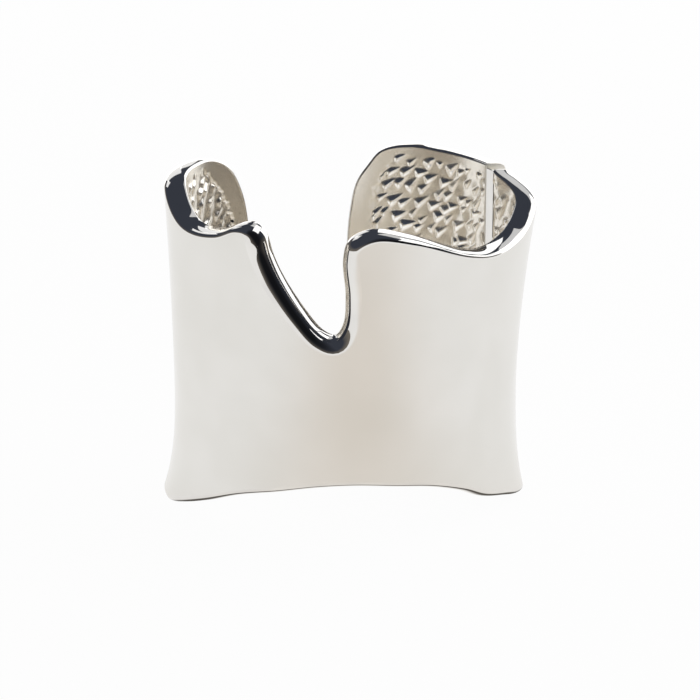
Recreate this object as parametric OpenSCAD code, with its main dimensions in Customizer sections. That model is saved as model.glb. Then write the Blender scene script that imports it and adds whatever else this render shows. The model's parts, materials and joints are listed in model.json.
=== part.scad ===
// Hinged cuff bracelet with a deep notch in its front.
// A hollow wall: smooth outer sheet, inner sheet, and rounded rim strips that close its edges.
// The back right wing swings outward on a pin hinge with a closing spring.
// Millimetres. The cuff stands on its lower rim: X right, Y back, Z up, front towards -Y.

/* [Plan] */
// Overall width across the flared sides
cuff_w = 64.8; // [61:0.2:72]
// Overall depth from the flared front to the back
cuff_d = 52.6; // [49:0.2:58]
// Radius of the two side arcs of the oval
side_r = 18.8; // [17:0.2:21]

/* [Wall] */
// Full thickness of the hollow wall
wall_t = 3.8; // [3.4:0.1:4.4]
// Thickness of the outer and inner sheets
sheet_t = 0.8; // [0.5:0.1:1]
// Depth of the inner sheet behind the rim
liner_recess = 0.15; // [0:0.05:0.3]
// Solder gap between the sheets, rims and plates
solder_gap = 0.04; // [0.02:0.01:0.08]

/* [Rim] */
// Height of the rim's wide outer rounding
lip_h = 1.3; // [0.9:0.1:1.7]
// Height of the rim's rounding in the notch
notch_lip_h = 2.2; // [1.6:0.1:2.6]
// Rounding of the rim's inner corner
corner_r = 0.6; // [0.4:0.05:0.8]

/* [Top edge] */
// Height of the rounded lobe at the back left
left_lobe_h = 57.9; // [53:0.1:63]
// Height of the lobe's rounding down its end
lobe_round = 18.3; // [12:0.1:24]
// Height of the left side
left_side_h = 56.9; // [52:0.1:60]
// Height of the low rim at the front left
left_front_h = 52.4; // [48:0.1:56]
// Height of the shoulder left of the notch
left_shoulder_h = 54.8; // [52:0.1:58]
// Height of the notch's bottom
notch_h = 36.3; // [28:0.1:42]
// Height of the shoulder right of the notch
right_shoulder_h = 54.7; // [52:0.1:58]
// Height of the low rim at the front right
right_front_h = 48.9; // [46:0.1:53]
// Height of the right side
right_side_h = 54.5; // [51:0.1:58]
// Height of the body at the hinge
hinge_h = 57; // [54:0.1:59]
// Height of the wing at the hinge
wing_hinge_h = 57.4; // [55:0.1:59]
// Height of the wing's crest
wing_h = 57.4; // [55:0.1:61]
// Height of the wing's rounding down its free end
wing_round = 20; // [12:0.1:24]

/* [Bottom edge] */
// Height of the arch in front
front_arch_h = 9.8; // [4:0.1:14]
// Height of the right front corner
right_corner_h = 3.9; // [2:0.1:5]
// Height of the body's foot at the hinge
hinge_foot_h = 0.9; // [0.5:0.1:1.5]
// Height of the rounding at the foot of the left end
end_foot_round = 16; // [10:0.1:20]
// Height of the wing's lower rim at its free end
wing_foot_h = 5.8; // [3:0.1:9]
// Height of the rounding at the foot of the wing's free end
wing_foot_round = 11.2; // [7:0.1:16]
// Lift of the wing's lower rim over the body's at the hinge
wing_lift = 0.3; // [0.1:0.1:0.6]

/* [Round the plan] */
// Angle of the notch's bottom from the front centre
notch_a = -6.4; // [-11:0.2:3]
// Angle of the hinge
hinge_a = 109; // [105:0.2:116]
// Angle of the wing's free end
wing_end_a = 176.6; // [171:0.2:180]
// Angle of the body's left end
left_end_a = -145.6; // [-153:0.1:-140]

/* [Flare] */
// Height of the waist, where the wall is narrowest
waist_h = 21; // [16:0.5:26]
// Top flare at the left side
left_flare = 1; // [0.2:0.1:2.2]
// Top flare at the front
front_flare = 1.2; // [0.4:0.1:2]
// Top flare at the right side
right_flare = 3.3; // [1.6:0.1:4]
// Top flare at the two ends beside the wrist gap
end_flare = 1.1; // [0.2:0.1:2]
// Foot flare at the left side
left_foot_flare = 2.6; // [0.8:0.1:3.2]
// Foot flare at the right side
right_foot_flare = 1.9; // [0.6:0.1:2.6]
// Foot flare everywhere else
foot_flare = 0.8; // [0.2:0.1:1.6]

/* [Hinge] */
// Slot between the two hinge plates
hinge_gap = 2.6; // [2.5:0.1:3.2]
// Thickness of the hinge plates
plate_t = 0.7; // [0.5:0.1:1.2]
// Thickness of the cover strip that closes the slot towards the wrist
cover_t = 0.36; // [0.3:0.02:0.44]
// Gap between the cover strip and the body's plate
cover_gap = 0.2; // [0.15:0.05:0.4]
// Outer diameter of the hinge tubes
knuckle_d = 2; // [1.7:0.1:2.1]
// Diameter of the hinge pin
pin_d = 1; // [0.8:0.05:1.05]
// Height of the lower end of the hinge tubes
barrel_z = 4; // [3:0.5:6]
// Drop of the tubes' upper end below the rim
barrel_drop = 3; // [2.6:0.1:6]
// Length of the spring's place in the middle of the stack
spring_l = 8; // [6:0.5:12]
// Thickness of the solder tabs on the tubes
tab_t = 1; // [0.6:0.1:1.4]
// End play between neighbours on the pin
end_play = 0.12; // [0.08:0.01:0.2]
// Radial clearance of the pin in the wing's tubes
run_fit = 0.04; // [0.02:0.01:0.06]
// Radial clearance of the pin in the body's tubes
pin_fit = 0.02; // [0.01:0.01:0.04]
// Thickness of the pin's two heads
head_t = 0.6; // [0.4:0.1:0.9]
// Diameter of the pin's two heads
head_d = 1.7; // [1.4:0.1:1.9]
// Wire diameter of the closing spring
wire_d = 0.34; // [0.24:0.02:0.36]
// Room left above and below the closing spring
spring_play = 0.4; // [0.3:0.05:0.8]
// Turns of the closing spring
spring_turns = 5; // [3:1:7]

/* [Hidden] */
$fn = 64;
// Samples along each long edge of the body, of the wing, along a free end, and up a sheet
body_n = 85;
wing_n = 25;
end_n = 7;
rows = 8;
// Oval of four arcs: half sizes, front radius, and half angle of the front arc
left_out = 0.825 * left_foot_flare;
right_out = 0.79 * right_flare;
half_w = (cuff_w - left_out - right_out) / 2;
half_d = (cuff_d - 0.9 * front_flare - 0.25 * end_flare) / 2;
side_x = half_w - side_r;
front_r = (side_x * side_x + half_d * half_d - side_r * side_r) / (2 * (half_d - side_r));
front_a = 90 - atan2(front_r - half_d, side_x);
front_l = front_r * front_a * PI / 180;
side_l = side_r * (180 - 2 * front_a) * PI / 180;

// Distance along the oval from the front centre to a place given by its angle
function along(a) =
    let (u = abs(a))
    sign(a) * (
        u <= front_a ? front_r * u * PI / 180
        : u <= 180 - front_a ? front_l + side_r * (u - front_a) * PI / 180
        : front_l + side_l + front_r * (u - 180 + front_a) * PI / 180
    );

// Angle of a place given by its distance along the oval
function angle_at(s) =
    let (u = abs(s))
    sign(s) * (
        u <= front_l ? u / front_r * 180 / PI
        : u <= front_l + side_l ? front_a + (u - front_l) / side_r * 180 / PI
        : 180 - front_a + (u - front_l - side_l) / front_r * 180 / PI
    );

function mix(a, b, k) = a + (b - a) * k;
function smooth(k) = k * k * (3 - 2 * k);

// Flare at the top and at the foot, eased from place to place round the plan
straight_a = 5;
flares = [
    [-180, end_flare, foot_flare],
    [-120, 0.86 * left_flare, mix(foot_flare, left_foot_flare, 0.5)],
    [-90, left_flare, left_foot_flare],
    [-45, left_flare, mix(foot_flare, left_foot_flare, 0.83)],
    [0, front_flare, foot_flare],
    [48, mix(front_flare, right_flare, 0.9), right_foot_flare],
    [78, right_flare, right_foot_flare],
    [hinge_a - straight_a, 0, 0],
    [hinge_a + straight_a, 0, 0],
    [wing_end_a + 3, end_flare, foot_flare]
];
function flare_part(a, col, i = 0) =
    i >= len(flares) - 1 ? flares[len(flares) - 1][col]
    : a <= flares[i + 1][0]
        ? mix(
            flares[i][col],
            flares[i + 1][col],
            smooth(max(0, (a - flares[i][0]) / (flares[i + 1][0] - flares[i][0])))
        )
        : flare_part(a, col, i + 1);
function flare(a, z) =
    z > waist_h
        ? flare_part(a, 1) * pow((z - waist_h) / (left_shoulder_h - waist_h), 1.6)
        : flare_part(a, 2) * pow((waist_h - z) / waist_h, 3);

// Half of the difference in flare, which keeps the cuff centred over its origin
shift_x = (left_out - right_out) / 2;
shift_y = (front_flare - 0.5 * end_flare) / 2;

// Point of the wall: distance along the oval, height, and depth below the outer face
function wall(s, z, depth) =
    let (
        a = angle_at(s),
        u = abs(a),
        r = u <= front_a || u >= 180 - front_a ? front_r : side_r,
        cx = u <= front_a || u >= 180 - front_a ? 0 : side_x,
        cy = u <= front_a ? front_r - half_d : u >= 180 - front_a ? half_d - front_r : 0,
        reach = r - depth + flare(a, z)
    )
    [
        shift_x + (s < 0 ? -1 : 1) * (cx + reach * sin(u)),
        shift_y + cy - reach * cos(u),
        z
    ];

// Smooth curve through hand-set points: each is distance along, height and rim height
function span(p, q) = max(0.001, sqrt(norm([q[0] - p[0], q[1] - p[1]])));
function curve_part(p0, p1, p2, p3, k) =
    let (
        t1 = span(p0, p1),
        t2 = t1 + span(p1, p2),
        t3 = t2 + span(p2, p3),
        t = mix(t1, t2, k),
        a1 = mix(p0, p1, t / t1),
        a2 = mix(p1, p2, (t - t1) / (t2 - t1)),
        a3 = mix(p2, p3, (t - t2) / (t3 - t2)),
        b1 = mix(a1, a2, t / t2),
        b2 = mix(a2, a3, (t - t1) / (t3 - t1))
    )
    mix(b1, b2, (t - t1) / (t2 - t1));
function curve_at(p, u) =
    let (
        i = min(floor(u), len(p) - 2),
        before = i > 0 ? p[i - 1] : 2 * p[0] - p[1],
        after = i + 2 < len(p) ? p[i + 2] : 2 * p[i + 1] - p[i]
    )
    curve_part(before, p[i], p[i + 1], after, u - i);
function curve(points, n) =
    let (p = [for (q = points) [along(q[0]), q[1], q[2]]])
    [for (i = [0:n - 1]) curve_at(p, (len(p) - 1) * i / (n - 1))];

// The hinge: its place along the oval and where the walls stop on each side of it
hinge_s = along(hinge_a);
body_face_s = hinge_s - hinge_gap / 2;
wing_face_s = hinge_s + hinge_gap / 2;
body_stop_s = body_face_s - plate_t - solder_gap;
wing_stop_s = wing_face_s + plate_t + solder_gap;
body_stop_a = angle_at(body_stop_s);
wing_stop_a = angle_at(wing_stop_s);

// Upper edge of the body, from the left end round the front to the hinge
notch_left = left_shoulder_h - notch_h;
notch_right = right_shoulder_h - notch_h;
body_top = curve([
    [left_end_a, left_lobe_h - lobe_round, lip_h],
    [left_end_a + 0.6, left_lobe_h - 0.67 * lobe_round, lip_h],
    [left_end_a + 2.6, left_lobe_h - 0.42 * lobe_round, lip_h],
    [left_end_a + 7.5, left_lobe_h - 0.17 * lobe_round, lip_h],
    [left_end_a + 16, left_lobe_h - 0.03 * lobe_round, lip_h],
    [left_end_a + 30, left_lobe_h, lip_h],
    [-90, left_side_h, lip_h],
    [-60, left_front_h, lip_h],
    [notch_a - 39.6, mix(left_front_h, left_shoulder_h, 0.17), lip_h],
    [notch_a - 31.4, mix(left_front_h, left_shoulder_h, 0.92), lip_h],
    [notch_a - 26.5, left_shoulder_h, mix(lip_h, notch_lip_h, 0.4)],
    [notch_a - 23.2, notch_h + 0.91 * notch_left, notch_lip_h],
    [notch_a - 21.1, notch_h + 0.73 * notch_left, notch_lip_h],
    [notch_a - 17.8, notch_h + 0.54 * notch_left, notch_lip_h],
    [notch_a - 10.2, notch_h + 0.23 * notch_left, notch_lip_h],
    [notch_a - 4.1, notch_h + 0.04 * notch_left, notch_lip_h],
    [notch_a, notch_h, notch_lip_h],
    [notch_a + 2.5, notch_h + 0.11 * notch_right, notch_lip_h],
    [notch_a + 3.2, notch_h + 0.38 * notch_right, notch_lip_h],
    [notch_a + 2.4, notch_h + 0.72 * notch_right, notch_lip_h],
    [notch_a + 4.2, notch_h + 0.9 * notch_right, mix(lip_h, notch_lip_h, 0.6)],
    [notch_a + 11.4, right_shoulder_h, mix(lip_h, notch_lip_h, 0.2)],
    [notch_a + 24.4, mix(right_front_h, right_shoulder_h, 0.78), lip_h],
    [36, mix(right_front_h, right_shoulder_h, 0.16), lip_h],
    [46, right_front_h, lip_h],
    [60, mix(right_front_h, right_side_h, 0.2), lip_h],
    [72, mix(right_front_h, right_side_h, 0.58), lip_h],
    [84, right_side_h, lip_h],
    [95, mix(right_side_h, hinge_h, 0.64), lip_h],
    [body_stop_a, hinge_h, lip_h]
], body_n);

// Lower edge of the body, the same way round, flat where it stands on its left and right feet
function above_ground(points) = [for (p = points) [p[0], max(0, p[1]), p[2]]];
body_foot = above_ground(curve([
    [left_end_a, end_foot_round, lip_h],
    [left_end_a + 0.8, 0.66 * end_foot_round, lip_h],
    [left_end_a + 4, 0.36 * end_foot_round, lip_h],
    [left_end_a + 11, 0.19 * end_foot_round, lip_h],
    [-124, 0.06 * end_foot_round, lip_h],
    [-112, 0, lip_h],
    [-101, 0, lip_h],
    [-88, 0, lip_h],
    [-77, 0, lip_h],
    [-66, 0.11 * front_arch_h, lip_h],
    [-52, 0.36 * front_arch_h, lip_h],
    [-38, 0.65 * front_arch_h, lip_h],
    [-25, 0.82 * front_arch_h, lip_h],
    [-12, 0.96 * front_arch_h, lip_h],
    [0, front_arch_h, lip_h],
    [13, 0.94 * front_arch_h, lip_h],
    [25, 0.84 * front_arch_h, lip_h],
    [37, 0.63 * front_arch_h, lip_h],
    [46, right_corner_h, lip_h],
    [58, 0.5 * right_corner_h, lip_h],
    [68, 0.16 * right_corner_h, lip_h],
    [77, 0, lip_h],
    [84, 0, lip_h],
    [90, 0, lip_h],
    [96, 0, lip_h],
    [99, 0.3 * hinge_foot_h, lip_h],
    [body_stop_a, hinge_foot_h, lip_h]
], body_n));

// Upper and lower edge of the wing, from the hinge to its free end
wing_top = curve([
    [wing_stop_a, wing_hinge_h, lip_h],
    [mix(wing_stop_a, wing_end_a, 0.16), mix(wing_hinge_h, wing_h, 0.45), lip_h],
    [mix(wing_stop_a, wing_end_a, 0.41), mix(wing_hinge_h, wing_h, 0.75), lip_h],
    [mix(wing_stop_a, wing_end_a, 0.62), wing_h, lip_h],
    [wing_end_a - 12.5, wing_h - 0.07 * wing_round, lip_h],
    [wing_end_a - 7.7, wing_h - 0.21 * wing_round, lip_h],
    [wing_end_a - 3.5, wing_h - 0.38 * wing_round, lip_h],
    [wing_end_a - 1, wing_h - 0.68 * wing_round, lip_h],
    [wing_end_a, wing_h - wing_round, lip_h]
], wing_n);
wing_foot = curve([
    [wing_stop_a, hinge_foot_h + wing_lift, lip_h],
    [mix(wing_stop_a, wing_end_a, 0.16), mix(hinge_foot_h, wing_foot_h, 0.25), lip_h],
    [mix(wing_stop_a, wing_end_a, 0.41), mix(hinge_foot_h, wing_foot_h, 0.55), lip_h],
    [mix(wing_stop_a, wing_end_a, 0.62), mix(hinge_foot_h, wing_foot_h, 0.8), lip_h],
    [wing_end_a - 10.5, wing_foot_h, lip_h],
    [wing_end_a - 5, wing_foot_h + 0.16 * wing_foot_round, lip_h],
    [wing_end_a - 1.4, wing_foot_h + 0.48 * wing_foot_round, lip_h],
    [wing_end_a, wing_foot_h + wing_foot_round, lip_h]
], wing_n);

// Closed walk round each panel's free edges, from the hinge foot to the hinge top
function backwards(p) = [for (i = [len(p) - 1:-1:0]) p[i]];
function inner_steps(p, q, n) = [for (i = [1:n]) mix(p, q, i / (n + 1))];
body_walk = concat(backwards(body_foot), inner_steps(body_foot[0], body_top[0], end_n), body_top);
wing_walk = concat(
    wing_top,
    inner_steps(wing_top[wing_n - 1], wing_foot[wing_n - 1], end_n),
    backwards(wing_foot)
);

// Direction into the wall at each step of a walk; straight up or down beside the hinge
function inward(p, i, first_z) =
    i == 0 ? [0, first_z]
    : i == len(p) - 1 ? [0, -first_z]
    : let (d = p[i + 1] - p[i - 1], l = norm([d[0], d[1]])) [d[1] / l, -d[0] / l];
body_in = [for (i = [0:len(body_walk) - 1]) inward(body_walk, i, 1)];
wing_in = [for (i = [0:len(wing_walk) - 1]) inward(wing_walk, i, -1)];

// Section of a rim, in ten points: a wide rounding outside, a narrow flat along the crest
// and a tight corner inside
lip_steps = 9;
corner_depth = wall_t - corner_r;
function lip_in(k, lip) =
    k <= 5 ? lip * (1 - sin(16 * k) / sin(80)) : corner_r * (1 - cos(30 * (k - 6)));
function lip_depth(k) =
    k <= 5 ? corner_depth * (1 - cos(16 * k)) : corner_depth + corner_r * sin(30 * (k - 6));
function lip_ring(p, n) =
    [
        for (k = [0:lip_steps])
            let (d = lip_in(k, p[2]))
            wall(p[0] + n[0] * d, p[1] + n[1] * d, lip_depth(k))
    ];

// Solid through a row of rings that all have the same number of points
module through_rings(rings) {
    n = len(rings[0]);
    last = len(rings) - 1;
    sides = [
        for (i = [0:last - 1]) for (k = [0:n - 1])
            let (a = i * n + k, b = i * n + (k + 1) % n)
            each [[a, a + n, b], [b, a + n, b + n]]
    ];
    caps = [
        for (k = [1:n - 2])
            each [[0, k, k + 1], [last * n, last * n + k + 1, last * n + k]]
    ];
    polyhedron(points = [for (r = rings) each r], faces = concat(sides, caps));
}

module rim(walk, into, from, to) {
    through_rings([for (i = [from:to]) lip_ring(walk[i], into[i])]);
}

// Edge of a sheet: the walk moved in past the rim and its solder gap, less far for the inner sheet
function sheet_edge(walk, into, i, depth) =
    let (d = mix(walk[i][2], corner_r, depth / wall_t) + solder_gap)
    [for (k = [0:1]) walk[i][k] + into[i][k] * d];

// Sheet between a lower and an upper edge, each from left to right, between two depths
module sheet(lower, upper, outer_depth, inner_depth) {
    n = len(lower);
    m = rows + 1;
    layer = n * m;
    function at(i, j, d) =
        let (p = mix(lower[i], upper[i], mix(j / rows, smooth(j / rows), 0.8)))
        wall(p[0], p[1], d);
    points = [
        for (d = [outer_depth, inner_depth]) for (i = [0:n - 1]) for (j = [0:rows]) at(i, j, d)
    ];
    skins = [
        for (i = [0:n - 2]) for (j = [0:rows - 1])
            let (a = i * m + j, b = a + m)
            each [
                [a, a + 1, b], [b, a + 1, b + 1],
                [layer + a, layer + b, layer + a + 1], [layer + b, layer + b + 1, layer + a + 1]
            ]
    ];
    long_edges = [
        for (i = [0:n - 2])
            let (a = i * m, b = a + m, c = a + rows, d = b + rows)
            each [
                [a, b, layer + a], [b, layer + b, layer + a],
                [c, layer + c, d], [d, layer + c, layer + d]
            ]
    ];
    short_edges = [
        for (j = [0:rows - 1])
            let (a = j, b = (n - 1) * m + j)
            each [
                [a, layer + a, a + 1], [a + 1, layer + a, layer + a + 1],
                [b, b + 1, layer + b], [b + 1, layer + b + 1, layer + b]
            ]
    ];
    polyhedron(points = points, faces = concat(skins, long_edges, short_edges));
}

// Indexes where the body's and the wing's walks turn from one edge to the next
body_end_i = body_n - 1;
body_top_i = body_n + end_n;
wing_end_i = wing_n - 1;
wing_foot_i = wing_n + end_n;
liner_outer = wall_t - liner_recess - sheet_t;
liner_inner = wall_t - liner_recess;
function body_low(depth) = [for (i = [body_end_i:-1:0]) sheet_edge(body_walk, body_in, i, depth)];
function body_high(depth) =
    [for (i = [body_top_i:len(body_walk) - 1]) sheet_edge(body_walk, body_in, i, depth)];
function wing_low(depth) =
    [for (i = [len(wing_walk) - 1:-1:wing_foot_i]) sheet_edge(wing_walk, wing_in, i, depth)];
function wing_high(depth) = [for (i = [0:wing_end_i]) sheet_edge(wing_walk, wing_in, i, depth)];

// End plate of a wall beside the hinge, in the shape of the wall's section
module end_plate(from_s, to_s, low_z, high_z) {
    function section(s) = concat(
        [for (k = [0:lip_steps]) wall(s, low_z + lip_in(k, lip_h), lip_depth(k))],
        [for (k = [lip_steps:-1:0]) wall(s, high_z - lip_in(k, lip_h), lip_depth(k))]
    );
    through_rings([section(from_s), section(to_s)]);
}

// The hinge axis, halfway through the wall; local x runs along the wall towards the wing
axis_p = wall(hinge_s, waist_h, wall_t / 2);
body_slot = norm(wall(body_face_s, waist_h, wall_t / 2) - axis_p);
wing_slot = norm(wall(wing_face_s, waist_h, wall_t / 2) - axis_p);
body_tilt = hinge_a - angle_at(body_face_s);
wing_tilt = angle_at(wing_face_s) - hinge_a;
cover_r = side_r - wall_t + solder_gap;
cover_w = cover_r * (sin(body_tilt) + sin(wing_tilt)) - cover_gap - solder_gap;
tube_l = (hinge_h - barrel_drop - barrel_z - spring_l - 4 * end_play) / 4;
z_1 = barrel_z;
z_2 = z_1 + tube_l + end_play;
z_3 = z_2 + tube_l + end_play;
z_4 = z_3 + spring_l + end_play;
z_5 = z_4 + tube_l + end_play;
top_z = z_5 + tube_l;

module at_hinge(z) {
    translate([axis_p[0], axis_p[1], z])
        rotate([0, 0, hinge_a])
            children();
}

// Hinge tube with a solder tab to a plate; side is -1 for the body and 1 for the wing
module knuckle(z, side, slot, tilt, clearance) {
    tab_l = slot - solder_gap - tab_t / 2 * tan(tilt);
    at_hinge(z)
        difference() {
            union() {
                cylinder(d = knuckle_d, h = tube_l);
                translate([side > 0 ? 0 : -tab_l, -tab_t / 2, 0])
                    cube([tab_l, tab_t, tube_l]);
            }
            translate([0, 0, -head_t])
                cylinder(d = pin_d + 2 * clearance, h = tube_l + 2 * head_t);
        }
}

module body_shell() {
    color("Gainsboro")
        sheet(body_low(0), body_high(0), 0, sheet_t);
}
module body_liner() {
    color("DarkGray")
        sheet(body_low(liner_outer), body_high(liner_outer), liner_outer, liner_inner);
}
module body_top_rim() {
    color("Silver")
        rim(body_walk, body_in, body_top_i, len(body_walk) - 1);
}
module body_bottom_rim() {
    color("Silver")
        rim(body_walk, body_in, 0, body_end_i);
}
module body_end_rim() {
    color("Silver")
        rim(body_walk, body_in, body_end_i, body_top_i);
}
module body_hinge_plate() {
    color("LightGray")
        end_plate(body_face_s - plate_t, body_face_s, hinge_foot_h, hinge_h);
}
module body_knuckle_bottom() {
    color("WhiteSmoke")
        knuckle(z_1, -1, body_slot, body_tilt, pin_fit);
}
module body_knuckle_top() {
    color("WhiteSmoke")
        knuckle(z_5, -1, body_slot, body_tilt, pin_fit);
}
module hinge_pin() {
    color("LightSteelBlue")
        at_hinge(z_1 - end_play - head_t) {
            cylinder(d = pin_d, h = top_z - z_1 + 2 * end_play + 1.5 * head_t);
            translate([0, 0, top_z - z_1 + 2 * end_play + head_t])
                cylinder(d = head_d, h = head_t);
        }
}
module pin_cap() {
    color("LightSteelBlue")
        at_hinge(z_1 - end_play - head_t)
            difference() {
                cylinder(d = head_d, h = head_t);
                translate([0, 0, -head_t])
                    cylinder(d = pin_d + 2 * pin_fit, h = 3 * head_t);
            }
}

// Closing spring: a coil round the pin with a leg to each hinge plate.
// The wing's leg stays inside the circle that the wing's plate turns round.
coil_r = 0.99 * (knuckle_d - wire_d) / 2;
coil_steps = 14;
coil_out = coil_r + wire_d / 2;
body_leg = body_slot - solder_gap - coil_out * tan(body_tilt);
wing_leg = sqrt(pow(wing_slot - solder_gap, 2) - pow(coil_out, 2));
module closing_spring() {
    low = spring_play + wire_d / 2;
    rise = spring_l - 2 * spring_play - wire_d;
    steps = spring_turns * coil_steps;
    function wire_ring(x, y, z, a) = [
        for (k = [0:5])
            [
                x + wire_d / 2 * cos(60 * k) * cos(a),
                y + wire_d / 2 * cos(60 * k) * sin(a),
                z + wire_d / 2 * sin(60 * k)
            ]
    ];
    coil = [
        for (i = [0:steps])
            let (a = -90 + 360 * i / coil_steps)
            wire_ring(coil_r * cos(a), coil_r * sin(a), low + rise * i / steps, a)
    ];
    color("SlateGray")
        at_hinge(z_3)
            through_rings(concat(
                [wire_ring(-body_leg, -coil_r, low, -90)],
                coil,
                [wire_ring(wing_leg, -coil_r, low + rise, -90)]
            ));
}

module wing_shell() {
    color("Gainsboro")
        sheet(wing_low(0), wing_high(0), 0, sheet_t);
}
module wing_liner() {
    color("DarkGray")
        sheet(wing_low(liner_outer), wing_high(liner_outer), liner_outer, liner_inner);
}
module wing_top_rim() {
    color("Silver")
        rim(wing_walk, wing_in, 0, wing_end_i);
}
module wing_bottom_rim() {
    color("Silver")
        rim(wing_walk, wing_in, wing_foot_i, len(wing_walk) - 1);
}
module wing_end_rim() {
    color("Silver")
        rim(wing_walk, wing_in, wing_end_i, wing_foot_i);
}
module wing_hinge_plate() {
    color("LightGray")
        end_plate(wing_face_s, wing_face_s + plate_t, hinge_foot_h + wing_lift, wing_hinge_h);
}
module wing_cover_strip() {
    low_z = hinge_foot_h + wing_lift + corner_r;
    color("Gainsboro")
        at_hinge(low_z)
            translate([cover_gap - cover_r * sin(body_tilt), side_r - wall_t / 2 - cover_r - cover_t, 0])
                cube([cover_w, cover_t, wing_hinge_h - corner_r - low_z]);
}
module wing_knuckle_lower() {
    color("WhiteSmoke")
        knuckle(z_2, 1, wing_slot, wing_tilt, run_fit);
}
module wing_knuckle_upper() {
    color("WhiteSmoke")
        knuckle(z_4, 1, wing_slot, wing_tilt, run_fit);
}

body_shell();
body_liner();
body_top_rim();
body_bottom_rim();
body_end_rim();
body_hinge_plate();
body_knuckle_bottom();
body_knuckle_top();
hinge_pin();
pin_cap();
closing_spring();
wing_shell();
wing_liner();
wing_top_rim();
wing_bottom_rim();
wing_end_rim();
wing_hinge_plate();
wing_cover_strip();
wing_knuckle_lower();
wing_knuckle_upper();
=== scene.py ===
import json
import math

import bmesh
import bpy
import numpy as np
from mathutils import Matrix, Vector

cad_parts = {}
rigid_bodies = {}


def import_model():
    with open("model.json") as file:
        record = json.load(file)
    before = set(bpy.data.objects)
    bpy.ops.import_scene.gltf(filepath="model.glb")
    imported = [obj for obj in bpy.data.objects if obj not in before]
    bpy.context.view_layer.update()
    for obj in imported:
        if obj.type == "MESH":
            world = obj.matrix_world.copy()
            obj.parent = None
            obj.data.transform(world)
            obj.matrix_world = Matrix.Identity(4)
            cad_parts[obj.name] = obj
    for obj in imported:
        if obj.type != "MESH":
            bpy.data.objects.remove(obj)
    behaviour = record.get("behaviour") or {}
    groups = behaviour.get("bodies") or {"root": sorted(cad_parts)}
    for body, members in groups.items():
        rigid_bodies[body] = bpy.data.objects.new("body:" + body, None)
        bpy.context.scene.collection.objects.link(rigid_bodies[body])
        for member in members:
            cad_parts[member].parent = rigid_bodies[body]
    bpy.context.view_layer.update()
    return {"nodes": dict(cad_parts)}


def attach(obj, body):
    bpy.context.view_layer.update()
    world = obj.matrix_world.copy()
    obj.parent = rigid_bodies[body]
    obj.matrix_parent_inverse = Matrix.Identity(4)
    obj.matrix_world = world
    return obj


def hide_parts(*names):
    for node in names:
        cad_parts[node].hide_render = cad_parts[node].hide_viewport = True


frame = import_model()
print("frame loaded")

scene = bpy.context.scene
mm = 0.001


# the oval plan and the wall, in millimetres, with the sizes of the part's source
cuff = {
    "width": 64.8,
    "depth": 52.6,
    "sideRadius": 18.8,
    "wall": 3.8,
    "sheet": 0.8,
    "linerRecess": 0.15,
    "waist": 21.0,
    "flareTop": 54.8,  # height where the top flares reach their full size
    "topBend": 1.6,  # powers of the curves from the waist up and down
    "footBend": 3,
    "leftFoot": 2.6,  # flares that set the overall size
    "rightTop": 3.3,
    "frontTop": 1.2,
    "endTop": 1.1,
}
flares = np.array([  # angle round the plan, flare at the top, flare at the foot
    (-180, cuff["endTop"], 0.8),
    (-120, 0.86, 1.7),
    (-90, 1.0, cuff["leftFoot"]),
    (-45, 1.0, 2.294),
    (0, cuff["frontTop"], 0.8),
    (48, 3.09, 1.9),
    (78, cuff["rightTop"], 1.9),
    (104, 0, 0),
    (114, 0, 0),
    (179.6, cuff["endTop"], 0.8),
])
leftOut = 0.825 * cuff["leftFoot"]  # how far each side stands out of the plain oval
rightOut = 0.79 * cuff["rightTop"]
halfWidth = (cuff["width"] - leftOut - rightOut) / 2
halfDepth = (cuff["depth"] - 0.9 * cuff["frontTop"] - 0.25 * cuff["endTop"]) / 2
sideRadius = cuff["sideRadius"]
sideX = halfWidth - sideRadius
frontRadius = (sideX**2 + halfDepth**2 - sideRadius**2) / (2 * (halfDepth - sideRadius))
frontAngle = 90 - math.degrees(math.atan2(frontRadius - halfDepth, sideX))
frontLength = frontRadius * math.radians(frontAngle)
sideLength = sideRadius * math.radians(180 - 2 * frontAngle)
shiftX = (leftOut - rightOut) / 2
shiftY = (cuff["frontTop"] - 0.5 * cuff["endTop"]) / 2


def alongOval(angle):  # distance from the front centre, for an angle in degrees
    size = np.abs(angle)
    front = frontRadius * np.radians(size)
    side = frontLength + sideRadius * np.radians(size - frontAngle)
    back = frontLength + sideLength + frontRadius * np.radians(size - 180 + frontAngle)
    onSide = size <= 180 - frontAngle
    return np.sign(angle) * np.where(size <= frontAngle, front, np.where(onSide, side, back))


def angleAt(distance):  # the other way round
    size = np.abs(distance)
    front = np.degrees(size / frontRadius)
    side = frontAngle + np.degrees((size - frontLength) / sideRadius)
    back = 180 - frontAngle + np.degrees((size - frontLength - sideLength) / frontRadius)
    onSide = size <= frontLength + sideLength
    return np.sign(distance) * np.where(size <= frontLength, front, np.where(onSide, side, back))


def mix(a, b, k):
    return a + (b - a) * k


def smoothStep(k):
    k = np.clip(k, 0, 1)
    return k * k * (3 - 2 * k)


def flareAt(angle, z):
    i = np.clip(np.searchsorted(flares[:, 0], angle, side="left") - 1, 0, len(flares) - 2)
    before, after = flares[i], flares[i + 1]
    k = smoothStep((angle - before[..., 0]) / (after[..., 0] - before[..., 0]))
    top = mix(before[..., 1], after[..., 1], k)
    foot = mix(before[..., 2], after[..., 2], k)
    waist = cuff["waist"]
    above = np.maximum(0, (z - waist) / (cuff["flareTop"] - waist)) ** cuff["topBend"]
    below = np.maximum(0, (waist - z) / waist) ** cuff["footBend"]
    return top * above + foot * below


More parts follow.
